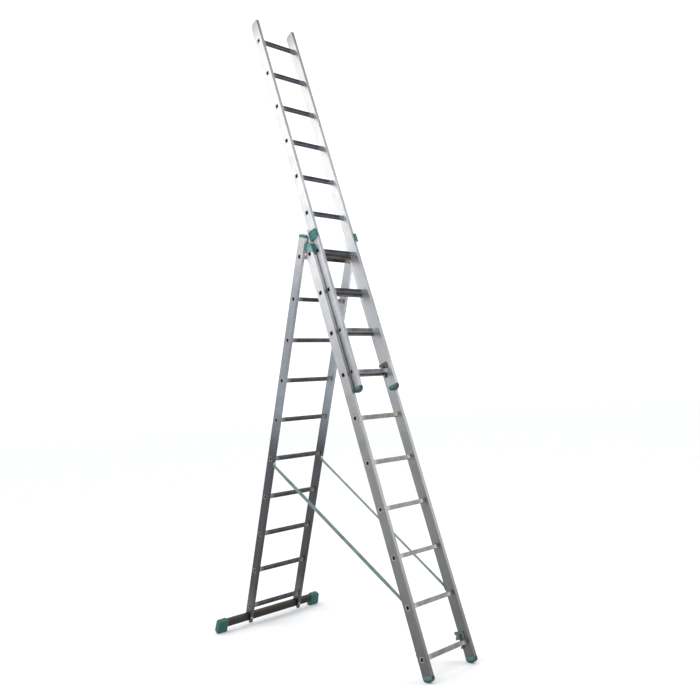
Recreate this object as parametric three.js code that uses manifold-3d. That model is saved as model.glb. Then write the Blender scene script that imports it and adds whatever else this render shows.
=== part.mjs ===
// Three-section aluminium combination ladder, standing as an A-frame with the upper section run out.
// Millimetres, +Z up. The climbing side faces -Y, the rungs run along X, the rear leg stands towards +Y.
// Each section is drawn in its own frame: z along the stiles from rung 1, y square to them, x across.
import * as THREE from "three";
import { mergeVertices } from "three/addons/utils/BufferGeometryUtils.js";
import Module from "manifold-3d";

// ---- standing position -------------------------------------------------------------------------
const CENTRE = [33, -827.2]; // ladder's centre plane and the line under rung 1, from the footprint's centre
const BASE_LEAN = 17.4; // degrees from plumb, base and fly sections
const REAR_LEAN = 19.1; // degrees from plumb, rear leg, the other way
const BASE_RUNG1_Z = 117.3; // height of the lowest base rung above the floor
const FLY_RUN = 6; // rungs the fly section is run out by

// ---- sections ----------------------------------------------------------------------------------
const PITCH = 280; // rung to rung
const RUNGS = 10; // in each section
const NEST = 50; // rung plane to rung plane when sections lie together
const THICK = 25; // stile across the ladder
const WALL = 1.8; // stile wall
const BASE = { width: 395, front: 36, rear: 36, bottom: -86, top: 2680 };
const FLY = { width: 338, front: 36, rear: 36, bottom: -98, top: 2680 };
const REAR = { width: 452, front: 30, rear: 36, bottom: -100, top: 2645 };

// ---- rungs -------------------------------------------------------------------------------------
const RUNG = 25; // square, with rounded corners
const RUNG_CORNER = 6;
const RUNG_WALL = 1.5;
const RUNG_PROUD = 1; // rung end past the stile's outer face
const GAP = 0.3; // between touching pieces

// ---- hinge between base and rear leg -----------------------------------------------------------
const PIVOT_Z = 2560; // along the stiles, the same on both sections so the rungs line up when folded
const PIVOT_BASE_Y = 37.5; // behind the base rung plane
const PIVOT_REAR_Y = -12.5; // in front of the rear rung plane
const BOLT_R = 5;
const BOLT_HEAD_R = 7;

// ---- stabiliser bar under the rear leg ---------------------------------------------------------
const BAR = { x: -33, half: 443, front: -13.2, rear: 16.8, low: -104, high: -54, wall: 2 };
const SHOE = { length: 77, wall: 4.2, flare: 5, chamfer: 18 };

// ---- webbing straps ----------------------------------------------------------------------------
const STRAP = { width: 25, thick: 2, baseZ: 315, rearZ: 1080, baseX: 185, rearX: 213 };

const rad = THREE.MathUtils.degToRad;
const wasm = await Module();
wasm.setup();

const aluminium = new THREE.MeshStandardMaterial({ color: 0xc4c6c8, roughness: 0.38, metalness: 0.9 });
const rungAlloy = new THREE.MeshStandardMaterial({ color: 0x8d8f92, roughness: 0.45, metalness: 0.9 });
const barAlloy = new THREE.MeshStandardMaterial({ color: 0x6f6d69, roughness: 0.5, metalness: 0.8 });
const teal = new THREE.MeshStandardMaterial({ color: 0x2f7a70, roughness: 0.5, metalness: 0 });
const steel = new THREE.MeshStandardMaterial({ color: 0xa9abac, roughness: 0.4, metalness: 0.9 });
const webbing = new THREE.MeshStandardMaterial({ color: 0x6e8c82, roughness: 0.9, metalness: 0 });

// ---- solids ------------------------------------------------------------------------------------
function toSolid(geometry) {
  const bare = new THREE.BufferGeometry();
  bare.setAttribute("position", geometry.getAttribute("position"));
  if (geometry.index) bare.setIndex(geometry.index);
  const merged = mergeVertices(bare, 1e-4);
  return new wasm.Manifold(
    new wasm.Mesh({
      numProp: 3,
      vertProperties: merged.attributes.position.array,
      triVerts: new Uint32Array(merged.index.array),
    }),
  );
}

function toGeometry(solid) {
  const mesh = solid.getMesh();
  const indexed = new THREE.BufferGeometry();
  indexed.setAttribute("position", new THREE.BufferAttribute(new Float32Array(mesh.vertProperties), 3));
  indexed.setIndex(new THREE.BufferAttribute(new Uint32Array(mesh.triVerts), 1));
  const flat = indexed.toNonIndexed();
  flat.computeVertexNormals();
  return flat;
}

const outline = (points) => new THREE.Shape(points.map(([a, b]) => new THREE.Vector2(a, b)));

// [y, z] outline carried across the ladder from x0 to x1
function acrossX(points, x0, x1) {
  const g = new THREE.ExtrudeGeometry(outline(points), { depth: x1 - x0, bevelEnabled: false });
  g.applyMatrix4(new THREE.Matrix4().set(0, 0, 1, x0, 1, 0, 0, 0, 0, 1, 0, 0, 0, 0, 0, 1));
  return toSolid(g);
}

// [x, y] outline carried along the stile from z0 to z1
function alongZ(points, z0, z1) {
  const g = new THREE.ExtrudeGeometry(outline(points), { depth: z1 - z0, bevelEnabled: false });
  g.translate(0, 0, z0);
  return toSolid(g);
}

const block = (x0, x1, y0, y1, z0, z1) =>
  toSolid(new THREE.BoxGeometry(x1 - x0, y1 - y0, z1 - z0).translate((x0 + x1) / 2, (y0 + y1) / 2, (z0 + z1) / 2));

function arc(y, z, r, from, to, steps) {
  return Array.from({ length: steps + 1 }, (_, i) => {
    const a = rad(from + ((to - from) * i) / steps);
    return [y + r * Math.cos(a), z + r * Math.sin(a)];
  });
}

// square with rounded corners about [0, z], counter-clockwise
function roundedSquare(size, corner, z) {
  const h = size / 2 - corner;
  return [
    ...arc(h, z + h, corner, 0, 90, 2),
    ...arc(-h, z + h, corner, 90, 180, 2),
    ...arc(-h, z - h, corner, 180, 270, 2),
    ...arc(h, z - h, corner, 270, 360, 2),
  ];
}

// ---- pieces, each drawn for the right-hand side ------------------------------------------------
// Closed box extrusion along one side of a section, with a hole through both walls for each rung.
function stile(section, outer, inner) {
  const x1 = section.width / 2;
  const x0 = x1 - THICK;
  let body = acrossX(outer, x0, x1).subtract(acrossX(inner, x0 + WALL, x1 - WALL));
  for (let i = 0; i < RUNGS; i++) {
    const hole = roundedSquare(RUNG + 2 * GAP, RUNG_CORNER + GAP, i * PITCH);
    body = body.subtract(acrossX(hole, x0 - 1, x1 + 1));
  }
  return body;
}

const rectangle = (y0, y1, z0, z1) => [[y0, z0], [y1, z0], [y1, z1], [y0, z1]];

// Base and fly stiles are closed at the top, where the rear corner is rounded off.
function headedStile(s) {
  const r = 34;
  const head = (inset) => [
    [-s.front + inset, s.top - inset],
    [-s.front + inset, s.bottom - (inset ? 1 : 0)],
    [s.rear - inset, s.bottom - (inset ? 1 : 0)],
    ...arc(s.rear - r, s.top - r, r - inset, 0, 90, 5),
  ];
  return stile(s, head(0), head(WALL));
}

// The rear stile is slotted for the stabiliser bar. Its front wall runs on past the bar to a tip.
function rearStile() {
  const s = REAR;
  const foot = [[s.rear, s.bottom], [-6, s.bottom], [-14, -108], [-20, -116], [-27, -118], [-s.front, -113]];
  const body = stile(
    s,
    [[-s.front, s.top], ...foot.toReversed(), [s.rear, s.top]],
    rectangle(-s.front + WALL, s.rear - WALL, -140, s.top + 1),
  );
  const x1 = s.width / 2;
  const slot = block(
    x1 - THICK - 1, x1 + 1, BAR.front - GAP, BAR.rear + GAP, BAR.low - GAP, BAR.high + GAP);
  return body.subtract(slot).subtract(boltHole(x1)).add(pivotBolt(x1));
}

const roundBar = (x0, x1, r, y, z) => acrossX(arc(y, z, r, 0, 345, 23), x0, x1);

const boltHole = (x1) => roundBar(x1 - THICK - 1, x1 + 1, BOLT_R - 0.5, PIVOT_REAR_Y, PIVOT_Z);

// Bolt through the rear stile, head outside, shank reaching in through the guide's ear.
function pivotBolt(x1) {
  const shank = roundBar(x1 - THICK - 3.2, x1 + 1, BOLT_R, PIVOT_REAR_Y, PIVOT_Z);
  return shank.add(roundBar(x1 - 0.2, x1 + 2.5, BOLT_HEAD_R, PIVOT_REAR_Y, PIVOT_Z));
}

// Square tube through both stiles, open at its ends.
function rung(section, i) {
  const half = section.width / 2 + RUNG_PROUD;
  const tube = acrossX(roundedSquare(RUNG, RUNG_CORNER, i * PITCH), -half, half);
  const bore = roundedSquare(RUNG - 2 * RUNG_WALL, RUNG_CORNER - RUNG_WALL, i * PITCH);
  return tube.subtract(acrossX(bore, -half - 1, half + 1));
}

// Plastic plug in a stile's lower end: a spigot inside, a curved tread below.
function plug(section, radius, centreZ) {
  const x1 = section.width / 2;
  const top = section.bottom - GAP;
  const edge = Math.sqrt(radius ** 2 - section.front ** 2);
  const a = (Math.atan2(edge, section.front) * 180) / Math.PI;
  const tread = [
    [section.rear, top],
    [-section.front, top],
    ...arc(0, centreZ, radius, 180 + a, 360 - a, 10),
  ];
  const inset = WALL + GAP;
  const spigot = block(
    x1 - THICK + inset, x1 - inset, -section.front + inset, section.rear - inset, top - 5, top + 26);
  return acrossX(tread, x1 - THICK, x1).add(spigot);
}

// Plastic cap on the rear stile's upper end.
function rearCap() {
  const s = REAR;
  const x1 = s.width / 2;
  const z = s.top + GAP;
  const crown = [
    [-s.front, z], [s.rear, z],
    ...arc(s.rear - 14, z + 6, 14, 0, 90, 3), ...arc(-s.front + 14, z + 6, 14, 90, 180, 3),
  ];
  const i = WALL + GAP;
  return acrossX(crown, x1 - THICK, x1).add(
    block(x1 - THICK + i, x1 - i, -s.front + i, s.rear - i, z - 22, z + 4),
  );
}

// Guide on the base stile's upper end: a hook round the fly stile's front edge.
function flyGuide() {
  const fly = FLY.width / 2;
  const front = -NEST - FLY.front;
  const side = BASE.width / 2 - THICK;
  return alongZ(
    [
      [side - GAP, -18], [fly + 1.5, -18], [fly + 1.5, front - 0.7], [fly - 9, front - 0.7],
      [fly - 9, front - 4], [fly - 7, front - 6], [side + 9, front - 6], [side + 13, front - 2],
      [side + 13, -36.5], [side - GAP, -36.5],
    ].toReversed(),
    2604,
    2660,
  );
}

// Hinge guide: a wall beside the base stile with an ear for the pivot bolt, its edges square to the
// opened rear leg, a front wall round the base stile and a lip inside it.
function hingeGuide() {
  const outer = BASE.width / 2;
  const inner = outer - THICK;
  const wall = acrossX(
    [[-41, 2512], [18, 2555.6], ...arc(PIVOT_BASE_Y, PIVOT_Z, 14, -80, 100, 8), [12, 2596.5], [-11, 2596.5],
      [-41, 2574]],
    outer + GAP, outer + 3,
  );
  const wrap = block(inner - 2.2, outer + 3, -41, -36.3, 2512, 2574);
  const lip = block(inner - 2.2, inner - GAP, -41, -22, 2512, 2574);
  const hole = roundBar(outer - 1, outer + 5, BOLT_R + 0.4, PIVOT_BASE_Y, PIVOT_Z);
  return wall.add(wrap).add(lip).subtract(hole);
}

// Steel plate on the stile's inner face: it sits on the rung behind and carries the latch.
function hookPlate(inner) {
  const profile = [
    [13.2, -20], [36.6, -20], [36.6, 13.4], [64, 13.4], [64, 30], [54, 33], [54, 41], [64, 44],
    [64, 54], [58, 61], [-6, 61], [-12, 55], [-12, 13.4], [13.2, 13.4],
  ];
  return acrossX(profile, inner - 3.3, inner - GAP);
}

// Latch lever turning on the plate between the two rungs, its lower finger reaching under the rung behind.
function latch(inner) {
  const profile = [
    [19, -30], [24, -36], [41, -36], [42, -27], [31, -24], [31, 38], [27, 44], [22, 44], [19, 40],
  ];
  return acrossX(profile, inner - 7.6, inner - 3.6);
}

function stabiliserBar() {
  const { x, half, front, rear, low, high, wall } = BAR;
  return block(x - half, x + half, front, rear, low, high).subtract(
    block(x - half - 1, x + half + 1, front + wall, rear - wall, low + wall, high - wall),
  );
}

// Plastic shoe over the bar's end, cut flat on the floor.
function barShoe() {
  const end = BAR.half + 6;
  const y0 = BAR.front - SHOE.wall;
  const y1 = BAR.rear + SHOE.wall;
  const floor = (y) => -(REAR_RUNG1.z + y * Math.sin(rad(REAR_LEAN))) / Math.cos(rad(REAR_LEAN));
  const top = BAR.high + SHOE.wall;
  const face = [
    [end - SHOE.length, top - 3], [end - SHOE.length + 3, top], [end - 8, top], [end - 4, top - 5],
    [end + SHOE.flare - 4, floor(0) + SHOE.chamfer], [end - SHOE.chamfer, floor(0) - 20],
    [end - SHOE.length, floor(0) - 20],
  ];
  const g = new THREE.ExtrudeGeometry(outline(face), { depth: y1 - y0, bevelEnabled: false });
  g.rotateX(Math.PI / 2).translate(0, y1, 0);
  const ground = acrossX([[y0 - 5, floor(y0 - 5)], [y0 - 5, -260], [y1 + 5, -260], [y1 + 5, floor(y1 + 5)]],
    end - 150, end + 50);
  const socket = block(end - SHOE.length - 1, BAR.half + 0.4, BAR.front - GAP, BAR.rear + GAP,
    BAR.low - GAP, BAR.high + GAP);
  return toSolid(g).subtract(ground).subtract(socket);
}

// ---- assembly ----------------------------------------------------------------------------------
// Where rung 1 of the rear leg stands, so that both sections meet at the pivot.
function rearRung1() {
  const a = rad(BASE_LEAN);
  const b = rad(REAR_LEAN);
  const pivotY = PIVOT_Z * Math.sin(a) + PIVOT_BASE_Y * Math.cos(a);
  const pivotZ = BASE_RUNG1_Z + PIVOT_Z * Math.cos(a) - PIVOT_BASE_Y * Math.sin(a);
  return {
    y: pivotY + PIVOT_Z * Math.sin(b) - PIVOT_REAR_Y * Math.cos(b),
    z: pivotZ - PIVOT_Z * Math.cos(b) - PIVOT_REAR_Y * Math.sin(b),
  };
}
const REAR_RUNG1 = rearRung1();

const ladder = new THREE.Group();
ladder.position.set(CENTRE[0], CENTRE[1], 0);

function section(y, z, leanBack) {
  const group = new THREE.Group();
  group.position.set(0, y, z);
  group.rotation.x = -rad(leanBack);
  ladder.add(group);
  return group;
}
const base = section(0, BASE_RUNG1_Z, BASE_LEAN);
const rear = section(REAR_RUNG1.y, REAR_RUNG1.z, -REAR_LEAN);
const fly = new THREE.Group();
fly.position.set(0, -NEST, FLY_RUN * PITCH);
base.add(fly);

function place(group, name, solid, material) {
  const mesh = new THREE.Mesh(toGeometry(solid), material);
  mesh.name = name;
  group.add(mesh);
  return mesh;
}

// a right-hand piece and its mirror image on the left
function pair(group, name, solid, material) {
  place(group, name + "_right", solid, material);
  place(group, name + "_left", solid, material).scale.x = -1;
}

function rungs(group, name, spec) {
  for (let i = 0; i < RUNGS; i++) {
    place(group, `${name}_rung_${String(i + 1).padStart(2, "0")}`, rung(spec, i), rungAlloy);
  }
}

pair(base, "base_stile", headedStile(BASE), aluminium);
rungs(base, "base", BASE);
pair(base, "base_foot", plug(BASE, 45, -75.8), teal);
pair(base, "fly_guide", flyGuide(), teal);
pair(base, "hinge_guide", hingeGuide(), teal);
pair(base, "base_hook", hookPlate(BASE.width / 2 - THICK), steel);
pair(base, "base_latch", latch(BASE.width / 2 - THICK), teal);

pair(fly, "fly_stile", headedStile(FLY), aluminium);
rungs(fly, "fly", FLY);
pair(fly, "fly_plug", plug(FLY, 45, -88), teal);
pair(fly, "fly_hook", hookPlate(FLY.width / 2 - THICK), steel);
pair(fly, "fly_latch", latch(FLY.width / 2 - THICK), teal);

pair(rear, "rear_stile", rearStile(), aluminium);
rungs(rear, "rear", REAR);
pair(rear, "rear_cap", rearCap(), teal);
place(rear, "stabiliser_bar", stabiliserBar(), barAlloy);
const shoe = barShoe();
place(rear, "bar_shoe_right", shoe, teal).position.x = BAR.x;
const leftShoe = place(rear, "bar_shoe_left", shoe, teal);
leftShoe.position.x = BAR.x;
leftShoe.scale.x = -1;

// Strap pulled straight between the base stile's rear face and the rear stile's front face.
function strap(name, side) {
  base.updateWorldMatrix(true, false);
  rear.updateWorldMatrix(true, false);
  const toLadder = ladder.matrixWorld.clone().invert();
  const at = (group, x, y, z) => new THREE.Vector3(x, y, z).applyMatrix4(group.matrixWorld).applyMatrix4(toLadder);
  const from = at(base, side * STRAP.baseX, BASE.rear + 3, STRAP.baseZ);
  const to = at(rear, side * STRAP.rearX, -REAR.front - 3, STRAP.rearZ);
  const along = to.clone().sub(from);
  const flat = new THREE.Vector3().crossVectors(along, new THREE.Vector3(1, 0, 0)).normalize();
  const across = new THREE.Vector3().crossVectors(flat, along).normalize();
  const box = new THREE.BoxGeometry(STRAP.width, STRAP.thick, along.length());
  box.applyMatrix4(new THREE.Matrix4().makeBasis(across, flat, along.normalize()));
  const middle = from.add(to).multiplyScalar(0.5);
  const mesh = new THREE.Mesh(box, webbing);
  mesh.name = name;
  mesh.position.copy(middle);
  ladder.add(mesh);
}
strap("strap_left", -1);
strap("strap_right", 1);

export default ladder;
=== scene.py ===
import math
import bmesh
import bpy
from mathutils import Matrix, Vector


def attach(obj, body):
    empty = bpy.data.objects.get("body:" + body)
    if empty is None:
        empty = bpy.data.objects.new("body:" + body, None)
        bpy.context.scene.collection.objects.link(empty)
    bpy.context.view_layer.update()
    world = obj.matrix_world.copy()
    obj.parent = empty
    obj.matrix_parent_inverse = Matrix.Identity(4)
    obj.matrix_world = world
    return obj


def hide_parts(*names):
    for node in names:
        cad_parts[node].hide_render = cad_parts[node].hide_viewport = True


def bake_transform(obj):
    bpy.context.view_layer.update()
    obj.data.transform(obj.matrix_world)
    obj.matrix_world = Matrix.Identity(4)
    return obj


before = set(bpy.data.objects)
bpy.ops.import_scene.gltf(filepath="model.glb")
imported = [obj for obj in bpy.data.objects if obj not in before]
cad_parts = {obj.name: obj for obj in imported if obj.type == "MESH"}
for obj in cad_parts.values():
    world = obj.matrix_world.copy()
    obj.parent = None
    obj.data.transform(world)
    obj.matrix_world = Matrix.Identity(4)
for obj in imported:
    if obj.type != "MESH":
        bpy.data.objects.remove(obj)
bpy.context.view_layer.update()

# ---- Camera ---------------------------------------------------------------------------------
# Eye height of someone standing about five metres off the front left corner, holding the
# camera a few degrees out of level and looking slightly up the ladder.
turn, tilt, roll = (math.radians(d) for d in (-41.803, -3.405, -3.81))
back = Vector((math.sin(turn) * math.cos(tilt), -math.cos(turn) * math.cos(tilt), math.sin(tilt)))
level = Vector((math.cos(turn), math.sin(turn), 0))
above = level.cross(-back)
rightward = level * math.cos(roll) + above * math.sin(roll)
upward = above * math.cos(roll) - level * math.sin(roll)

lens = bpy.data.cameras.new("camera")
lens.sensor_fit = "HORIZONTAL"
lens.sensor_width = 36
lens.lens = 37.435
lens.clip_end = 200
camera = bpy.data.objects.new("camera", lens)
bpy.context.scene.collection.objects.link(camera)
camera.matrix_world = Matrix.Translation((-3.10902, -3.69715, 1.60604)) @ Matrix(
    (rightward, upward, back)).transposed().to_4x4()
bpy.context.scene.camera = camera
bpy.context.scene.view_settings.view_transform = "Standard"


# ---- Floor and light ------------------------------------------------------------------------
# A seamless pale studio floor, painted concrete with the faint mottling of a roller. The room is
# bright behind the ladder and to its left and dim in front of it, and three soft boxes light it.
def linear(hex_colour):
    """sRGB hex to the linear colour that a shader takes."""
    parts = [int(hex_colour[i:i + 2], 16) / 255 for i in (1, 3, 5)]
    return [c / 12.92 if c <= 0.04045 else ((c + 0.055) / 1.055) ** 2.4 for c in parts] + [1.0]


def add(tree, kind, settings=None, links=None):
    """One node, with its settings by property or input name, and the sockets that feed it."""
    made = tree.nodes.new(kind)
    for key, value in (settings or {}).items():
        if key == "stops":
            ramp = made.color_ramp
            for _ in value[2:]:
                ramp.elements.new(0.5)
            for element, (at, colour) in zip(ramp.elements, value):
                element.position = at
                element.color = linear(colour)
        elif isinstance(key, str) and hasattr(made, key):
            setattr(made, key, value)
        else:
            made.inputs[key].default_value = value
    for key, socket in (links or {}).items():
        tree.links.new(socket, made.inputs[key])
    return made


def new_surface(name):
    """An empty material with its shader, and the object's own coordinates in metres."""
    material = bpy.data.materials.new(name)
    material.use_nodes = True
    tree = material.node_tree
    tree.nodes.clear()
    shader = add(tree, "ShaderNodeBsdfPrincipled")
    add(tree, "ShaderNodeOutputMaterial", {}, {"Surface": shader.outputs["BSDF"]})
    place = add(tree, "ShaderNodeTexCoord").outputs["Object"]
    return material, tree, shader, place


# Emulsion on concrete: matt, with slow mottling about half a metre across and a fine stipple.
floor_paint, tree, shader, place = new_surface("painted concrete, rolled")
mottle = add(tree, "ShaderNodeTexNoise", {"Scale": 2.0, "Detail": 5.0}, {"Vector": place})
tint = add(tree, "ShaderNodeValToRGB", {"stops": [(0.3, "#f3f3f2"), (0.7, "#f8f8f8")]},
           {"Fac": mottle.outputs["Fac"]})
tree.links.new(tint.outputs["Color"], shader.inputs["Base Color"])
shader.inputs["Roughness"].default_value = 0.85
shader.inputs["Specular IOR Level"].default_value = 0.25

FLOOR_RADIUS = 40
FLOOR_DROP = 0.0006  # metres below the feet, so that the faces don't share a plane
bm = bmesh.new()
bmesh.ops.create_circle(bm, cap_ends=True, segments=96, radius=FLOOR_RADIUS)
ground = bpy.data.meshes.new("floor")
bm.to_mesh(ground)
bm.free()
floor = bpy.data.objects.new("floor", ground)
bpy.context.scene.collection.objects.link(floor)
floor.location = (0, 0, -FLOOR_DROP)
floor.data.materials.append(floor_paint)

sky = bpy.data.worlds.new("sky")
bpy.context.scene.world = sky
sky.use_nodes = True
sky.node_tree.nodes.clear()
ray = add(sky.node_tree, "ShaderNodeTexCoord").outputs["Generated"]
BRIGHT_SIDE = (-0.5, 0.86, 0.1)
toward = add(sky.node_tree, "ShaderNodeVectorMath", {"operation": "DOT_PRODUCT", 1: BRIGHT_SIDE}, {0: ray})
shade = add(sky.node_tree, "ShaderNodeMapRange",
            {"From Min": -0.85, "From Max": -0.2, "To Min": 0.34, "To Max": 1.25},
            {"Value": toward.outputs["Value"]})
glow = add(sky.node_tree, "ShaderNodeBackground", {"Color": linear("#fbfcff")},
           {"Strength": shade.outputs["Result"]})
add(sky.node_tree, "ShaderNodeOutputWorld", {}, {"Surface": glow.outputs["Background"]})

for name, at, aim, size, power in [
    ("soft_box_high", (-3.2, 2.6, 6.4), (0, -0.2, 3.0), 3.0, 65),
    ("soft_box_low", (-4.6, -1.0, 2.6), (0, 0, 1.2), 2.6, 30),
    ("soft_box_front", (4.0, -5.2, 2.6), (0, -0.5, 1.8), 3.0, 135),
]:
    lamp = bpy.data.lights.new(name, "AREA")
    lamp.size = size
    lamp.energy = power
    box = bpy.data.objects.new(name, lamp)
    bpy.context.scene.collection.objects.link(box)
    box.location = at
    box.rotation_mode = "QUATERNION"
    box.rotation_quaternion = (Vector(aim) - Vector(at)).to_track_quat("-Z", "Y")


# ---- Stiles ---------------------------------------------------------------------------------
# Six box extrusions of 25 by 72 mm, 66 mm on the rear leg, in mill-finish aluminium alloy with a
# 1.8 mm wall. They are punched through for every rung. Base and fly ones have closed heads.
MM = 0.001
PITCH, RUNGS = 280, 10
SECTIONS = {  # width over the stiles, front and rear edge, lower and upper end
    "base": (395, -36, 36, -86, 2680),
    "fly": (338, -36, 36, -98, 2680),
    "rear": (452, -30, 36, -118, 2645),
}
THICK, WALL = 25, 1.8
PUNCH = 12.8  # half the side of a rung hole
base_frame = Matrix.Translation((0.033, -0.8272, 0.1173)) @ Matrix.Rotation(math.radians(-17.4), 4, "X")
rear_frame = Matrix.Translation((0.033, 0.823618, 0.133962)) @ Matrix.Rotation(math.radians(19.1), 4, "X")
FRAMES = {
    "base": base_frame,
    "fly": base_frame @ Matrix.Translation((0, -0.05, 1.68)),
    "rear": rear_frame,
}
BODIES = {"base": "base", "fly": "fly", "rear": "rear_leg"}


def arc(cx, cy, r, start, end, steps):
    """Points on a circle between two angles in degrees."""
    angles = [math.radians(start + (end - start) * i / steps) for i in range(steps + 1)]
    return [(cx + r * math.cos(a), cy + r * math.sin(a)) for a in angles]


def rounded(x0, x1, y0, y1, r, steps=3):
    """A rectangle with rounded corners, anticlockwise."""
    return (arc(x1 - r, y1 - r, r, 0, 90, steps) + arc(x0 + r, y1 - r, r, 90, 180, steps)
            + arc(x0 + r, y0 + r, r, 180, 270, steps) + arc(x1 - r, y0 + r, r, 270, 360, steps))


SHARP_CORNER = math.radians(28)  # an edge that a maker would break
SHARP_SHADING = math.radians(31)  # an edge that reads as a crease


def prism(outline, start, end, along="x", edge=0.0, steps=2):
    """Outline in millimetres carried along x (from y, z), y (from x, z) or z (from x, y)."""
    bm = bmesh.new()
    spot = {"x": lambda a, b, c: (c, a, b), "y": lambda a, b, c: (a, c, b), "z": lambda a, b, c: (a, b, c)}
    rings = [[bm.verts.new(Vector(spot[along](a, b, c)) * MM) for a, b in outline]
             for c in (start, end)]
    count = len(outline)
    for i in range(count):
        bm.faces.new((rings[0][i], rings[0][(i + 1) % count], rings[1][(i + 1) % count], rings[1][i]))
    bm.faces.new(rings[0][::-1])
    bm.faces.new(rings[1])
    bmesh.ops.recalc_face_normals(bm, faces=bm.faces)
    if edge:
        corners = [e for e in bm.edges if e.calc_face_angle(0) > SHARP_CORNER]
        bmesh.ops.bevel(bm, geom=corners, offset=edge * MM, segments=steps, profile=0.5,
                        affect="EDGES", clamp_overlap=True)
    mesh = bpy.data.meshes.new("work")
    bm.to_mesh(mesh)
    bm.free()
    return mesh


def joined(meshes):
    """Separate meshes as one, without changing them."""
    bm = bmesh.new()
    for mesh in meshes:
        bm.from_mesh(mesh)
    mesh = bpy.data.meshes.new("work")
    bm.to_mesh(mesh)
    bm.free()
    return mesh


def carve(mesh, tool, how="DIFFERENCE"):
    """The mesh with the tool cut away from it, welded to it, or marking what is kept."""
    body, cutter = (bpy.data.objects.new("work", m) for m in (mesh, tool))
    for o in (body, cutter):
        bpy.context.scene.collection.objects.link(o)
    cut = body.modifiers.new("cut", "BOOLEAN")
    cut.object, cut.operation, cut.solver = cutter, how, "EXACT"
    bpy.context.view_layer.update()
    made = bpy.data.meshes.new_from_object(body.evaluated_get(bpy.context.evaluated_depsgraph_get()))
    for o in (body, cutter):
        bpy.data.objects.remove(o)
    return made


def mirrored(mesh):
    """The left-hand twin of a right-hand mesh."""
    twin = mesh.copy()
    twin.transform(Matrix.Scale(-1, 4, (1, 0, 0)))
    twin.flip_normals()
    return twin


def fit(name, mesh, section, surface, slot, *nodes, shift=(0, 0, 0), body=None):
    """Puts a piece in its section's frame, on its body, in place of its CAD nodes."""
    mesh.name = name
    piece = bpy.data.objects.new(name, mesh)
    bpy.context.scene.collection.objects.link(piece)
    piece.matrix_world = FRAMES[section] @ Matrix.Translation(Vector(shift) * MM)
    if not mesh.materials:
        mesh.materials.append(surface)
        mesh.shade_smooth()
        mesh.set_sharp_from_angle(angle=SHARP_SHADING)
    piece.modifiers.new("even faces", "WEIGHTED_NORMAL").keep_sharp = True
    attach(piece, body or BODIES[section])
    if nodes:
        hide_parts(*nodes)
    return piece


def mill_finish(name, tones, high, rough):
    """Extruded aluminium, its tone given at shares of a height in metres up the section."""
    material, tree, shader, place = new_surface(name)
    rise = add(tree, "ShaderNodeSeparateXYZ", {}, {"Vector": place}).outputs["Z"]
    share = add(tree, "ShaderNodeMapRange", {"From Max": high}, {"Value": rise})
    tone = add(tree, "ShaderNodeValToRGB", {"stops": tones},
               {"Fac": share.outputs["Result"]})
    # die lines run the length of the bar; real ones are 0.3 mm apart, drawn at 2 mm to show
    stretch = add(tree, "ShaderNodeMapping", {"Scale": (500, 500, 1.2)}, {"Vector": place})
    lines = add(tree, "ShaderNodeTexNoise", {"Scale": 1.0, "Detail": 3.0, "Roughness": 0.6},
                {"Vector": stretch.outputs["Vector"]})
    # clouding from handling and oxide, a hand's breadth across
    cloud = add(tree, "ShaderNodeTexNoise", {"Scale": 9.0, "Detail": 6.0, "Roughness": 0.55},
                {"Vector": place})
    mixed = add(tree, "ShaderNodeMath", {"operation": "MULTIPLY", 1: 0.5},
                {0: add(tree, "ShaderNodeMath", {"operation": "ADD"},
                        {0: lines.outputs["Fac"], 1: cloud.outputs["Fac"]}).outputs["Value"]})
    grey = add(tree, "ShaderNodeValToRGB", {"stops": [(0.35, "#dcdcdc"), (0.62, "#ffffff")]},
               {"Fac": mixed.outputs["Value"]})
    colour = add(tree, "ShaderNodeMix", {"data_type": "RGBA", "blend_type": "MULTIPLY", 0: 1.0},
                 {6: tone.outputs["Color"], 7: grey.outputs["Color"]})
    gloss = add(tree, "ShaderNodeMapRange", {"From Min": 0.3, "From Max": 0.7,
                                             "To Min": rough - 0.07, "To Max": rough + 0.1},
                {"Value": mixed.outputs["Value"]})
    relief = add(tree, "ShaderNodeBump", {"Strength": 0.25, "Distance": 0.0004},
                 {"Height": lines.outputs["Fac"]})
    tree.links.new(colour.outputs[2], shader.inputs["Base Color"])
    tree.links.new(gloss.outputs["Result"], shader.inputs["Roughness"])
    tree.links.new(relief.outputs["Normal"], shader.inputs["Normal"])
    shader.inputs["Metallic"].default_value = 1.0
    return material


# Mill-finish extrusion is bright and satin with soft lengthwise streaks. Each section also has a
# tone of its own that is darker below and paler above, which stands in for uneven light.
STILE_SURFACE = {
    "base": mill_finish("aluminium, extruded, base stiles",
                        [(0.0, "#6c6c6c"), (0.48, "#929393"), (0.7, "#babbbc"), (1.0, "#ededed")],
                        2.6, 0.42),
    "fly": mill_finish("aluminium, extruded, fly stiles",
                       [(0.0, "#bbbcbd"), (0.24, "#ced0d1"), (0.456, "#e7e7e6"), (0.58, "#dcdcdb"),
                        (0.7, "#cccccb"), (0.83, "#bfbfbe"), (0.95, "#b3b3b2"), (1.0, "#878889")],
                       2.68, 0.40),
    "rear": mill_finish("aluminium, extruded, rear stiles",
                        [(0.0, "#626260"), (0.07, "#49494a"), (0.45, "#53565a"), (0.57, "#8c9197"),
                         (0.88, "#a0a4aa"), (1.0, "#c6c7c6")],
                        2.6, 0.40),
}


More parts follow.
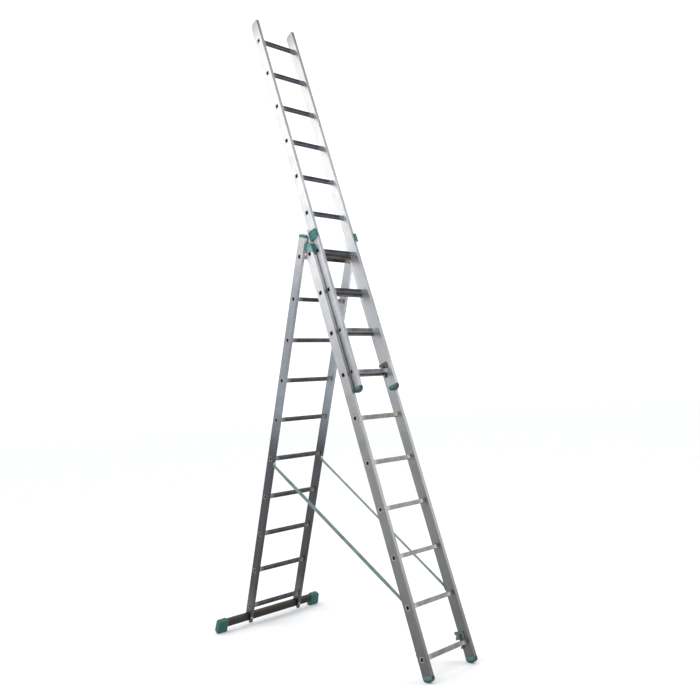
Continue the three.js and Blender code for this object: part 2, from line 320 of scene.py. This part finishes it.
def stile(section):
    """Right-hand stile: a rounded box, its rung holes punched, its ends shaped."""
    width, front, rear, low, high = SECTIONS[section]
    x1 = width / 2
    x0 = x1 - THICK
    outer = prism(rounded(x0, x1, front, rear, 3.0), low, high, "z")
    inner = prism(rounded(x0 + WALL, x1 - WALL, front + WALL, rear - WALL, 1.4),
                  low - 1, high + 1, "z")
    if section != "rear":
        # closed head, its rear corner rounded off
        def head(inset):
            return ([(front - 5 + inset * 5.5, high - inset * WALL), (front - 5, low - 2),
                     (rear + 5, low - 2)]
                    + arc(rear - 34, high - 34, 34 - inset * WALL, 0, 90, 8))
        outer = carve(outer, prism(head(0), x0 - 1, x1 + 1), "INTERSECT")
        inner = carve(inner, prism(head(1), x0 - 1, x1 + 1), "INTERSECT")
    body = carve(outer, inner)
    holes = [prism(rounded(-PUNCH, PUNCH, i * PITCH - PUNCH, i * PITCH + PUNCH, 4.0), x0 - 2, x1 + 2)
             for i in range(RUNGS)]
    body = carve(body, joined(holes))
    if section == "rear":
        # slotted for the stabiliser bar, the front wall running on past it to a tip
        tip = [(40, -100), (40, -130), (-40, -130), (-40, -113), (-30, -113), (-27, -118), (-20, -116),
               (-14, -108), (-6, -100)]
        body = carve(body, prism(tip, x0 - 2, x1 + 2))
        body = carve(body, prism([(-13.5, -104.3), (17.1, -104.3), (17.1, -53.7), (-13.5, -53.7)],
                                 x0 - 2, x1 + 2))
    return body


for section in SECTIONS:
    mesh = stile(section)
    for side, shape in (("right", mesh), ("left", mirrored(mesh))):
        name = f"{section}_stile_{side}"
        fit(name + "_extrusion", shape, section, STILE_SURFACE[section], "stile_aluminium", name)

# ---- Rungs ----------------------------------------------------------------------------------
# Thirty square alloy tubes, 25 mm, ribbed lengthwise for grip. Each is pushed through both
# stiles, bulged into a bead against the inner wall and flared over the outer one.
RIB_DEPTH = 0.9


def rung_ring(x, size, depth, corner=3.0):
    """One cross-section of the tube: four ribbed sides and rounded corners."""
    half = size / 2
    ring = []
    for quarter in range(4):
        c, s = round(math.cos(quarter * math.pi / 2)), round(math.sin(quarter * math.pi / 2))
        run = half - corner
        side = [(half - (depth if k % 2 else 0), -run + 2 * run * k / 8) for k in range(9)]
        side += arc(half - corner, half - corner, corner, 0, 90, 3)[1:-1]
        ring += [Vector((x, c * a - s * b, s * a + c * b)) * MM for a, b in side]
    return ring


def loft(rings):
    """Rings joined one to the next and the last to the first, as one closed skin."""
    bm = bmesh.new()
    loops = [[bm.verts.new(p) for p in ring] for ring in rings]
    count = len(loops[0])
    for first, second in zip(loops, loops[1:] + loops[:1]):
        for i in range(count):
            bm.faces.new((first[i], first[(i + 1) % count], second[(i + 1) % count], second[i]))
    bmesh.ops.recalc_face_normals(bm, faces=bm.faces)
    mesh = bpy.data.meshes.new("work")
    bm.to_mesh(mesh)
    bm.free()
    return mesh


def rung_tube(width):
    """From the flare on one side, over the tube, to the other, and back through the bore."""
    end, wall = width / 2, width / 2 - THICK
    half = [(end + 0.8, 25.6, 0), (end + 1.0, 27.4, 0), (end + 0.7, 28.6, 0), (end + 0.1, 28.4, 0),
            (end, 25.2, 0), (wall, 25.2, 0), (wall - 0.2, 28.6, 0), (wall - 3.5, 28.8, 0),
            (wall - 6.5, 26.4, 0.2), (wall - 10, 25.0, RIB_DEPTH)]
    rings = [rung_ring(x, size, depth) for x, size, depth in half]
    rings += [rung_ring(-x, size, depth) for x, size, depth in reversed(half)]
    rings += [rung_ring(x, 22, 0) for x in (-end - 0.4, -end + 6, end - 6, end + 0.4)]
    return loft(rings)


# Ribbed tube drawn through a die and left unpolished: darker than the stiles, brown-grey in the
# grooves and worn lighter on the crests, growing paler over the last 50 mm before each stile and palest
# through it.
# The lowest rungs of base and fly have a lighter shade, which stands in for uneven light too.
def drawn_tube(name, grooves, crests, bead, half):
    material, tree, shader, place = new_surface(name)
    axes = add(tree, "ShaderNodeSeparateXYZ", {}, {"Vector": place})
    across = add(tree, "ShaderNodeMath", {"operation": "ABSOLUTE"}, {0: axes.outputs["X"]})
    nearness = add(tree, "ShaderNodeMapRange", {"From Min": half - 0.075, "From Max": half - 0.024},
                   {"Value": across.outputs["Value"]})
    stretch = add(tree, "ShaderNodeMapping", {"Scale": (3, 420, 420)}, {"Vector": place})
    lines = add(tree, "ShaderNodeTexNoise", {"Scale": 1.0, "Detail": 3.0},
                {"Vector": stretch.outputs["Vector"]})
    grime = add(tree, "ShaderNodeTexNoise", {"Scale": 28.0, "Detail": 5.0}, {"Vector": place})
    wear = add(tree, "ShaderNodeNewGeometry")
    crest = add(tree, "ShaderNodeMapRange", {"From Min": 0.47, "From Max": 0.56},
                {"Value": wear.outputs["Pointiness"]})
    tone = add(tree, "ShaderNodeMix", {"data_type": "RGBA", 6: linear(grooves), 7: linear(crests)},
               {0: crest.outputs["Result"]})
    paler_towards_stiles = add(tree, "ShaderNodeMix", {"data_type": "RGBA", 7: linear(bead)},
                 {0: nearness.outputs["Result"], 6: tone.outputs[2]})
    grey = add(tree, "ShaderNodeValToRGB", {"stops": [(0.35, "#cfcbc6"), (0.65, "#ffffff")]},
               {"Fac": grime.outputs["Fac"]})
    colour = add(tree, "ShaderNodeMix", {"data_type": "RGBA", "blend_type": "MULTIPLY", 0: 1.0},
                 {6: paler_towards_stiles.outputs[2], 7: grey.outputs["Color"]})
    gloss = add(tree, "ShaderNodeMapRange", {"To Min": 0.34, "To Max": 0.6},
                {"Value": grime.outputs["Fac"]})
    relief = add(tree, "ShaderNodeBump", {"Strength": 0.3, "Distance": 0.0003},
                 {"Height": lines.outputs["Fac"]})
    tree.links.new(colour.outputs[2], shader.inputs["Base Color"])
    tree.links.new(gloss.outputs["Result"], shader.inputs["Roughness"])
    tree.links.new(relief.outputs["Normal"], shader.inputs["Normal"])
    shader.inputs["Metallic"].default_value = 1.0
    return material


for section, first, last, grooves, crests, bead in [
    ("base", 0, 6, "#767370", "#a6a29f", "#c8c2bc"),
    ("base", 6, 10, "#605c5a", "#85807d", "#a8a29d"),
    ("fly", 0, 2, "#6a6d72", "#9c9fa4", "#c3c7cb"),
    ("fly", 2, 10, "#494d53", "#72777e", "#a3a8ae"),
    ("rear", 0, 10, "#424344", "#696a6b", "#b0a89d"),
]:
    width = SECTIONS[section][0]
    surface = drawn_tube(f"aluminium, drawn and ribbed, {section} rungs from {first + 1}",
                         grooves, crests, bead, width / 2 * MM)
    tube = rung_tube(width)
    for i in range(first, last):
        name = f"{section}_rung_{i + 1:02d}"
        fit(name + "_tube", tube, section, surface, "rung_aluminium", name, shift=(0, 0, i * PITCH))

# ---- Foot and fly plugs ---------------------------------------------------------------------
# Injection-moulded polypropylene plugs pushed into the lower ends of the base and fly stiles.
# Below the stile each is a curved rocker tread, grooved across, that keeps its grip at any lean.
PLUGS = {"base": ("base_foot", -86.3, -75.8), "fly": ("fly_plug", -98.3, -88.0)}
ROCKER = 45  # radius of the tread


# Polypropylene, moulded: satin teal, clouded, with a fine spark-eroded texture, real grain
# 0.3 mm drawn at 1.2 mm to show, and faded chalky on raised edges.
def moulded(name, deep, body_colour, worn, rough):
    material, tree, shader, place = new_surface(name)
    grain = add(tree, "ShaderNodeTexNoise", {"Scale": 800.0, "Detail": 2.0}, {"Vector": place})
    cloud = add(tree, "ShaderNodeTexNoise", {"Scale": 45.0, "Detail": 5.0}, {"Vector": place})
    tone = add(tree, "ShaderNodeValToRGB", {"stops": [(0.3, deep), (0.7, body_colour)]},
               {"Fac": cloud.outputs["Fac"]})
    edges = add(tree, "ShaderNodeNewGeometry")
    rub = add(tree, "ShaderNodeMapRange", {"From Min": 0.53, "From Max": 0.62, "To Max": 0.7},
              {"Value": edges.outputs["Pointiness"]})
    colour = add(tree, "ShaderNodeMix", {"data_type": "RGBA", 7: linear(worn)},
                 {0: rub.outputs["Result"], 6: tone.outputs["Color"]})
    gloss = add(tree, "ShaderNodeMapRange", {"To Min": rough - 0.08, "To Max": rough + 0.12},
                {"Value": cloud.outputs["Fac"]})
    relief = add(tree, "ShaderNodeBump", {"Strength": 0.2, "Distance": 0.0004},
                 {"Height": grain.outputs["Fac"]})
    tree.links.new(colour.outputs[2], shader.inputs["Base Color"])
    tree.links.new(gloss.outputs["Result"], shader.inputs["Roughness"])
    tree.links.new(relief.outputs["Normal"], shader.inputs["Normal"])
    shader.inputs["IOR"].default_value = 1.49
    return material


teal_plastic = moulded("polypropylene, moulded, teal", "#1d5651", "#2f746e", "#7fb0a9", 0.42)
# The plugs take a darker copy of the same teal, which is painted shade.
plug_teal_painted_shade = moulded("polypropylene, moulded, teal darkened as painted shade", "#143f3b", "#215e58", "#6b9a93", 0.42)
# A near-black for the plug treads and the band over them, which is painted shade.
tread_painted_shade = moulded("painted shade, near-black on the plug treads", "#101d1c", "#1b2b29", "#3d5450", 0.7)


def plug(section, top, centre):
    """Shoulder and rocker below the stile, a spigot inside it, grooves across the tread."""
    width, front, rear = SECTIONS[section][:3]
    x1 = width / 2
    x0 = x1 - THICK
    radius = ROCKER
    lean = math.degrees(math.atan2(math.sqrt(radius ** 2 - front ** 2), -front))
    tread = arc(0, centre, radius, 180 + lean, 360 - lean, 16)
    foot = prism([(rear, top), (front, top)] + tread, x0, x1, edge=1.2)
    spigot = prism(rounded(x0 + 2.1, x1 - 2.1, front + 2.1, rear - 2.1, 2), top - 4, top + 26, "z")
    foot = carve(foot, spigot, "UNION")
    deep = centre - radius
    cuts = [prism([(y - 1.6, deep - 4), (y + 1.6, deep - 4), (y + 1.6, deep + 2.2 + y * y / 90),
                   (y - 1.6, deep + 2.2 + y * y / 90)], x0 - 1, x1 + 1)
            for y in (-24, -16, -8, 0, 8, 16, 24)]
    return carve(foot, joined(cuts))


for section, (node, top, centre) in PLUGS.items():
    mesh = plug(section, top, centre)
    for side, shape in (("right", mesh), ("left", mirrored(mesh))):
        shape.materials.append(plug_teal_painted_shade)
        shape.materials.append(tread_painted_shade)
        shape.shade_smooth()
        shape.set_sharp_from_angle(angle=SHARP_SHADING)
        # faces below the stile, all but the sides, take the near-black of painted shade
        for face in shape.polygons:
            low = face.center.z < (top - 3) * MM and abs(face.normal.x) < 0.6
            face.material_index = 1 if low else 0
        fit(f"{node}_{side}_moulding", shape, section, plug_teal_painted_shade, "green_plastic", f"{node}_{side}")
    # a dark band of painted shade lies over the tread and stands a hair proud of it
    x1 = SECTIONS[section][0] / 2
    tread_shade_band = prism(arc(0, centre, ROCKER + 0.3, 222, 318, 16) + arc(0, centre, ROCKER - 9.5, 318, 222, 16),
                x1 - THICK - 0.4, x1 + 0.4)
    for side, shape in (("right", tread_shade_band), ("left", mirrored(tread_shade_band))):
        fit(f"{node}_{side}_tread_shade", shape, section, tread_painted_shade, "green_plastic")

# ---- Rear caps ------------------------------------------------------------------------------
# Moulded caps on the upper ends of the rear leg's stiles, of the same polypropylene as the
# plugs: a spigot inside the extrusion and a crown with rounded shoulders outside it.
x1 = SECTIONS["rear"][0] / 2
x0 = x1 - THICK
crown = [(-30, 2645.3), (36, 2645.3)] + arc(22, 2651.3, 14, 0, 90, 6) + arc(-16, 2651.3, 14, 90, 180, 6)
cap = carve(prism(crown, x0, x1, edge=1.4, steps=3),
            prism(rounded(x0 + 2.1, x1 - 2.1, -27.9, 33.9, 2), 2623, 2649, "z"), "UNION")
for side, shape in (("right", cap), ("left", mirrored(cap))):
    fit(f"rear_cap_{side}_moulding", shape, "rear", teal_plastic, "green_plastic", f"rear_cap_{side}")

# ---- Fly guides -----------------------------------------------------------------------------
# Moulded hooks screwed to the upper ends of the base stiles. Each wraps the front edge of the
# fly stile, so that the fly can only slide, and three ribs run round it for stiffness.
fly_edge, base_side = 169, 172.5
wrap = [(base_side - 0.3, -18), (fly_edge + 1.5, -18), (fly_edge + 1.5, -86.7), (fly_edge - 9, -86.7),
        (fly_edge - 9, -90), (fly_edge - 7, -92), (base_side + 9, -92), (base_side + 13, -88),
        (base_side + 13, -36.5), (base_side - 0.3, -36.5)]
guide = prism(wrap, 2604, 2660, "z", edge=0.9)
for z in (2607, 2632, 2657):
    rib = prism([(fly_edge - 8.5, -93.3), (base_side + 14.3, -93.3), (base_side + 14.3, -40),
                 (base_side + 11, -40), (base_side + 11, -90), (fly_edge - 8.5, -90)],
                z - 2, z + 2, "z", edge=0.6)
    guide = carve(guide, rib, "UNION")
for side, shape in (("right", guide), ("left", mirrored(guide))):
    fit(f"fly_guide_{side}_moulding", shape, "base", teal_plastic, "green_plastic", f"fly_guide_{side}")

# ---- Hinge guides and bolts -----------------------------------------------------------------
# Moulded sleeves round the base stiles at the pivot, their edges square to the opened rear leg.
# Each has an ear for the pivot bolt, a wall in front of the stile and a lip inside, with ribs.
# The pivot bolts and the rivets above them are zinc-plated steel, set in the rear stiles.
outer, inner = 197.5, 172.5
PIVOT_Y, PIVOT_Z = 37.5, 2560
band = ([(-41, 2512), (18, 2555.6)] + arc(PIVOT_Y, PIVOT_Z, 14, -80, 100, 12)
        + [(12, 2596.5), (-11, 2596.5), (-41, 2574)])
hinge = prism(band, outer + 0.3, outer + 3, edge=0.5)
front = prism([(-41, 2512), (-36.3, 2512), (-36.3, 2574), (-41, 2574)], inner - 1.6, outer + 3, edge=0.8)
lip = prism([(-41, 2512), (-22, 2512), (-22, 2574), (-41, 2574)], inner - 1.6, inner - 0.3, edge=0.4)
for part in (front, lip):
    hinge = carve(hinge, part, "UNION")
for low in (2513, 2541, 2569):
    # each rib follows the wall's slope on the outside and runs level across the front
    rib = prism([(-42.5, low), (-8, low + 25.5), (-8, low + 30), (-42.5, low + 4.5)],
                outer + 1, outer + 3.4, edge=0.4)
    level_rib = prism([(-42.6, low), (-38, low), (-38, low + 4.5), (-42.6, low + 4.5)],
                      inner - 1.4, outer + 3.3, edge=0.6)
    hinge = carve(carve(hinge, rib, "UNION"), level_rib, "UNION")
hinge = carve(hinge, prism(arc(PIVOT_Y, PIVOT_Z, 5.4, 0, 345, 23), outer - 1, outer + 5))
for side, shape in (("right", hinge), ("left", mirrored(hinge))):
    fit(f"hinge_guide_{side}_moulding", shape, "base", teal_plastic, "green_plastic", f"hinge_guide_{side}")


def turned(profile, centre, axis="x", steps=20):
    """A round part from (radius, distance) steps along its axis, closed at both ends."""
    bm = bmesh.new()
    spot = {"x": lambda u, v, d: (centre[0] + d, centre[1] + u, centre[2] + v),
            "y": lambda u, v, d: (centre[0] + u, centre[1] + d, centre[2] + v)}[axis]
    loops = [[bm.verts.new(Vector(spot(r * math.cos(2 * math.pi * i / steps),
                                       r * math.sin(2 * math.pi * i / steps), d)) * MM)
              for i in range(steps)] for r, d in profile]
    for first, second in zip(loops, loops[1:]):
        for i in range(steps):
            bm.faces.new((first[i], first[(i + 1) % steps], second[(i + 1) % steps], second[i]))
    bm.faces.new(loops[0])
    bm.faces.new(loops[-1])
    bmesh.ops.recalc_face_normals(bm, faces=bm.faces)
    mesh = bpy.data.meshes.new("work")
    bm.to_mesh(mesh)
    bm.free()
    return mesh


# Steel, zinc-plated: cool satin grey with crystalline spangle about 5 mm across, and stains that
# make it duller in patches.
def zinc_plated(name, dark, light, rough):
    material, tree, shader, place = new_surface(name)
    spangle = add(tree, "ShaderNodeTexVoronoi", {"Scale": 220.0}, {"Vector": place})
    stain = add(tree, "ShaderNodeTexNoise", {"Scale": 60.0, "Detail": 5.0}, {"Vector": place})
    blend = add(tree, "ShaderNodeMath", {"operation": "MULTIPLY_ADD", 1: 0.35, 2: 0.3},
                {0: add(tree, "ShaderNodeMath", {"operation": "ADD"},
                        {0: spangle.outputs["Distance"], 1: stain.outputs["Fac"]}).outputs["Value"]})
    tone = add(tree, "ShaderNodeValToRGB", {"stops": [(0.35, dark), (0.75, light)]},
               {"Fac": blend.outputs["Value"]})
    gloss = add(tree, "ShaderNodeMapRange", {"To Min": rough - 0.1, "To Max": rough + 0.15},
                {"Value": stain.outputs["Fac"]})
    relief = add(tree, "ShaderNodeBump", {"Strength": 0.15, "Distance": 0.0003},
                 {"Height": blend.outputs["Value"]})
    tree.links.new(tone.outputs["Color"], shader.inputs["Base Color"])
    tree.links.new(gloss.outputs["Result"], shader.inputs["Roughness"])
    tree.links.new(relief.outputs["Normal"], shader.inputs["Normal"])
    shader.inputs["Metallic"].default_value = 1.0
    return material


bright_zinc = zinc_plated("steel, zinc-plated, bolts", "#8f9295", "#c9ccce", 0.35)


def screw_head(centre, reach, radius=5.0, axis="x", sign=1):
    """A low domed head with a washer under it."""
    shape = [(radius * 1.45, 0), (radius * 1.45, 0.9), (radius, 1.0), (radius * 0.98, reach * 0.5),
             (radius * 0.75, reach * 0.85), (radius * 0.35, reach)]
    return turned([(r, d * sign) for r, d in shape], centre, axis)


bolt_parts = [turned([(5, -28), (5, 0.1), (7.6, 0.1), (7.6, 0.8), (6.6, 1.6), (4.5, 2.3), (1.5, 2.5)],
                     (226, -12.5, PIVOT_Z), steps=24),
              screw_head((226.05, -12.3, 2592.5), 2.8, 4.6)]
bolts = joined(bolt_parts)
for side, shape in (("right", bolts), ("left", mirrored(bolts))):
    fit(f"pivot_bolt_{side}", shape, "rear", bright_zinc, "hook_steel")

# ---- Hooks ----------------------------------------------------------------------------------
# Pressed steel plates, 3 mm, zinc-plated, riveted flat to the inner face of each stile at rung
# 1. They drop over the rung of the section behind, with a notch above that catches the next.
hook_steel = zinc_plated("steel, zinc-plated, hook plates", "#3c3f40", "#6a6d6e", 0.42)
HOOK = [(13.2, -20), (36.6, -20), (36.6, 13.4), (64, 13.4), (64, 30), (54, 33), (54, 41), (64, 44),
        (64, 54), (58, 61), (-6, 61), (-12, 55), (-12, 13.4), (13.2, 13.4)]
for section in ("base", "fly"):
    wall = SECTIONS[section][0] / 2 - THICK
    plate = prism(HOOK, wall - 3.3, wall - 0.3, edge=0.5)
    heads = [screw_head((wall - 3.2, y, z), 2.6, 4.0, sign=-1) for y, z in ((-2, 48), (-2, 26))]
    plate = joined([plate] + heads)
    for side, shape in (("right", plate), ("left", mirrored(plate))):
        hook = f"{section}_hook_{side}"
        fit(hook + "_pressing", shape, section, hook_steel, "hook_steel", hook)

# ---- Latches --------------------------------------------------------------------------------
# Moulded levers on a pin through the hook plate, swung under the rung behind by hand so that
# the section can't lift off. Dark teal polypropylene with a thumb pad at the top.
latch_plastic = moulded("polypropylene, moulded, dark teal", "#12302c", "#1e443f", "#567d75", 0.45)
for section in ("base", "fly"):
    wall = SECTIONS[section][0] / 2 - THICK
    lever = prism([(19, -30), (24, -36), (41, -36), (42, -27), (31, -24), (31, 38), (27, 44), (22, 44),
                   (19, 40)], wall - 7.6, wall - 3.6, edge=0.9)
    pad = prism([(20, 28), (30.2, 28), (30.2, 38), (27, 43), (22, 43), (20, 39)],
                wall - 10.5, wall - 6, edge=1.0)
    lever = carve(lever, pad, "UNION")
    pin = turned([(6.5, -3.8), (6.5, -4.6), (4.2, -4.7), (4.1, -6.2), (2.6, -7.2)], (wall - 3.8, 25, 0))
    for side, shape, head in (("right", lever, pin), ("left", mirrored(lever), mirrored(pin))):
        latch = f"{section}_latch_{side}"
        fit(latch + "_lever", shape, section, latch_plastic, "green_plastic", latch, body=latch)
        fit(latch + "_pin", head, section, bright_zinc, "hook_steel")

# ---- Stabiliser bar -------------------------------------------------------------------------
# A box extrusion, 30 by 50 mm and 2 mm in the wall, through the slots in the rear stiles and
# held by one bolt in each. It spreads the rear leg's feet and rides 33 mm off centre.
BAR_X = -33
bar_surface = mill_finish("aluminium, extruded, stabiliser bar",
                          [(0.0, "#494541"), (1.0, "#57524d")], 0.1, 0.45)
bar = carve(prism(rounded(-13.2, 16.8, -104, -54, 2.5), BAR_X - 443, BAR_X + 443),
            prism(rounded(-11.2, 14.8, -102, -56, 1.2), BAR_X - 444, BAR_X + 444))
fit("stabiliser_bar_extrusion", bar, "rear", bar_surface, "bar_aluminium", "stabiliser_bar")
bar_bolts = joined([screw_head((x, -30, -78), 3.4, 5.0, "y", -1) for x in (-213.5, 213.5)])
fit("stabiliser_bolts", bar_bolts, "rear", bright_zinc, "hook_steel")

# ---- Shoes ----------------------------------------------------------------------------------
# Thick moulded boots of polypropylene over the ends of the stabiliser bar, cut flat for the
# floor and flared outwards, with three ribs across the top.
bar_end = 449
REAR_LEAN = math.radians(19.1)
# height of the floor in the rear leg's frame, by distance from its rungs' centre plane
ground_line = {y: -(133.962 + y * math.sin(REAR_LEAN)) / math.cos(REAR_LEAN) for y in (-20, 0, 24)}
face = [(bar_end - 77, -52.8), (bar_end - 74, -49.8), (bar_end - 8, -49.8), (bar_end - 4, -54.8),
        (bar_end + 1, ground_line[0] + 18), (bar_end - 18, ground_line[0] - 20),
        (bar_end - 77, ground_line[0] - 20)]
boot = prism(face, -17.4, 21, "y", edge=1.6, steps=3)
for x in (bar_end - 66, bar_end - 46, bar_end - 26):
    rib = prism(rounded(x - 2.5, x + 2.5, -52, -48.4, 1.2, 2), -18.6, 22.2, "y", edge=0.6)
    boot = carve(boot, rib, "UNION")
below = prism([(-20, ground_line[-20]), (-20, -260), (24, -260), (24, ground_line[24])],
              bar_end - 120, bar_end + 40)
socket = prism([(-13.5, -104.3), (17.1, -104.3), (17.1, -53.7), (-13.5, -53.7)], bar_end - 90, 443.4)
boot = carve(carve(boot, below), socket)
shoe_plastic = moulded("polypropylene, moulded, shoe teal", "#07403a", "#0d544c", "#4f928a", 0.5)
for side, shape in (("right", boot), ("left", mirrored(boot))):
    fit(f"bar_shoe_{side}_moulding", shape, "rear", shoe_plastic, "shoe_plastic", f"bar_shoe_{side}",
        shift=(BAR_X, 0, 0))

# ---- Straps ---------------------------------------------------------------------------------
# Two flat polyester webbing straps, 25 mm wide and 1.8 mm thick, pulled taut between base and
# rear leg when the ladder stands open. Each end is turned flat on the stile and riveted.
STRAP_WIDTH, STRAP_THICK = 25, 1.8
STRAP_LEAN = {"left": -15, "right": 8}  # degrees that each turns about its own length
BASE_FIXING_X, REAR_FIXING_X = 182, 211
webbing, tree, shader, _ = new_surface("polyester, woven webbing")
# plain weave with the weft showing as ribs across: real ribs 1.1 mm apart, drawn at 2.5 mm
uv = add(tree, "ShaderNodeTexCoord").outputs["UV"]
weft = add(tree, "ShaderNodeTexWave", {"bands_direction": "Y", "Scale": 63.0, "Distortion": 0.6},
           {"Vector": uv})
warp = add(tree, "ShaderNodeTexWave", {"bands_direction": "X", "Scale": 90.0, "Distortion": 0.4},
           {"Vector": uv})
weave = add(tree, "ShaderNodeMath", {"operation": "MULTIPLY"},
            {0: weft.outputs["Fac"], 1: warp.outputs["Fac"]})
soil = add(tree, "ShaderNodeTexNoise", {"Scale": 14.0, "Detail": 6.0}, {"Vector": uv})
thread = add(tree, "ShaderNodeValToRGB", {"stops": [(0.0, "#607a76"), (1.0, "#90a7a3")]},
             {"Fac": weave.outputs["Value"]})
dirt = add(tree, "ShaderNodeValToRGB", {"stops": [(0.3, "#c8c6be"), (0.7, "#ffffff")]},
           {"Fac": soil.outputs["Fac"]})
colour = add(tree, "ShaderNodeMix", {"data_type": "RGBA", "blend_type": "MULTIPLY", 0: 1.0},
             {6: thread.outputs["Color"], 7: dirt.outputs["Color"]})
relief = add(tree, "ShaderNodeBump", {"Strength": 0.6, "Distance": 0.0006},
             {"Height": weave.outputs["Value"]})
tree.links.new(colour.outputs[2], shader.inputs["Base Color"])
tree.links.new(relief.outputs["Normal"], shader.inputs["Normal"])
shader.inputs["Roughness"].default_value = 0.88
shader.inputs["Sheen Weight"].default_value = 0.3


def webbing_strap(name, side, lean):
    """A ribbon along the line of its fixings, leaning over between them, with rounded selvedges."""
    def base_point(y, z):
        return FRAMES["base"] @ (Vector((side * BASE_FIXING_X, y, z)) * MM)

    def rear_point(y, z):
        return FRAMES["rear"] @ (Vector((side * REAR_FIXING_X, y, z)) * MM)

    stations = [base_point(37.4, 301), base_point(37.4, 311), base_point(37.6, 318),
                base_point(39.5, 324)]
    far = [rear_point(-33, 1080), rear_point(-31.6, 1086), rear_point(-31.4, 1092),
           rear_point(-31.4, 1104)]
    first, last = stations[-1], far[0]
    stations += [first.lerp(last, i / 48) for i in range(1, 48)] + far
    bm = bmesh.new()
    layer = bm.loops.layers.uv.new("UVMap")
    run, rings, distances = 0.0, [], []
    half, thick = STRAP_WIDTH / 2 * MM, STRAP_THICK / 2 * MM
    selvedge = half - 0.0007
    section = [(-half, 0), (-selvedge, thick), (0, thick * 1.06), (selvedge, thick), (half, 0),
               (selvedge, -thick), (0, -thick * 1.06), (-selvedge, -thick)]
    for i, point in enumerate(stations):
        if i:
            run += (point - stations[i - 1]).length
        ahead = stations[min(i + 1, len(stations) - 1)] - stations[max(i - 1, 0)]
        flat = ahead.cross(Vector((1, 0, 0))).normalized()
        across = flat.cross(ahead).normalized()
        eased = min(1, max(0, (i - 4) / 6), max(0, (len(stations) - 5 - i) / 6))
        turned_over = Matrix.Rotation(math.radians(lean * eased), 3, ahead.normalized())
        flat, across = turned_over @ flat, turned_over @ across
        rings.append([bm.verts.new(point + across * a + flat * b) for a, b in section])
        distances.append(run)
    count = len(section)
    for i, (first_ring, second_ring) in enumerate(zip(rings, rings[1:])):
        for k in range(count):
            n = (k + 1) % count
            made = bm.faces.new((first_ring[k], first_ring[n], second_ring[n], second_ring[k]))
            here, there = distances[i], distances[i + 1]
            corners = ((section[k][0], here), (section[n][0], here),
                       (section[n][0], there), (section[k][0], there))
            for loop, corner in zip(made.loops, corners):
                loop[layer].uv = corner
    bm.faces.new(rings[0][::-1])
    bm.faces.new(rings[-1])
    bmesh.ops.recalc_face_normals(bm, faces=bm.faces)
    mesh = bpy.data.meshes.new(name)
    bm.to_mesh(mesh)
    bm.free()
    mesh.materials.append(webbing)
    mesh.shade_smooth()
    mesh.set_sharp_from_angle(angle=math.radians(50))
    strap = bpy.data.objects.new(name, mesh)
    bpy.context.scene.collection.objects.link(strap)
    return strap, stations


for side, sign in (("left", -1), ("right", 1)):
    strap, line = webbing_strap(f"strap_{side}_webbing", sign, STRAP_LEAN[side])
    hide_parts(f"strap_{side}")
    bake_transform(strap)
    # a pressed tab and rivet hold each end against its stile
    for section, x, face_y, z, out in (("base", BASE_FIXING_X, 36, 306, 1),
                                      ("rear", REAR_FIXING_X, -30, 1098, -1)):
        depth = sorted((face_y + out * 2.4, face_y + out * 3.8))
        tab = prism(rounded(x - 9.5, x + 9.5, z - 8, z + 8, 2.5), depth[0], depth[1], "y", edge=0.4)
        rivet = screw_head((x, face_y + out * 3.6, z), 2.4, 3.6, "y", out)
        shape = joined([tab, rivet])
        fit(f"strap_{side}_{section}_tab", mirrored(shape) if sign < 0 else shape, section,
            bright_zinc, "hook_steel")
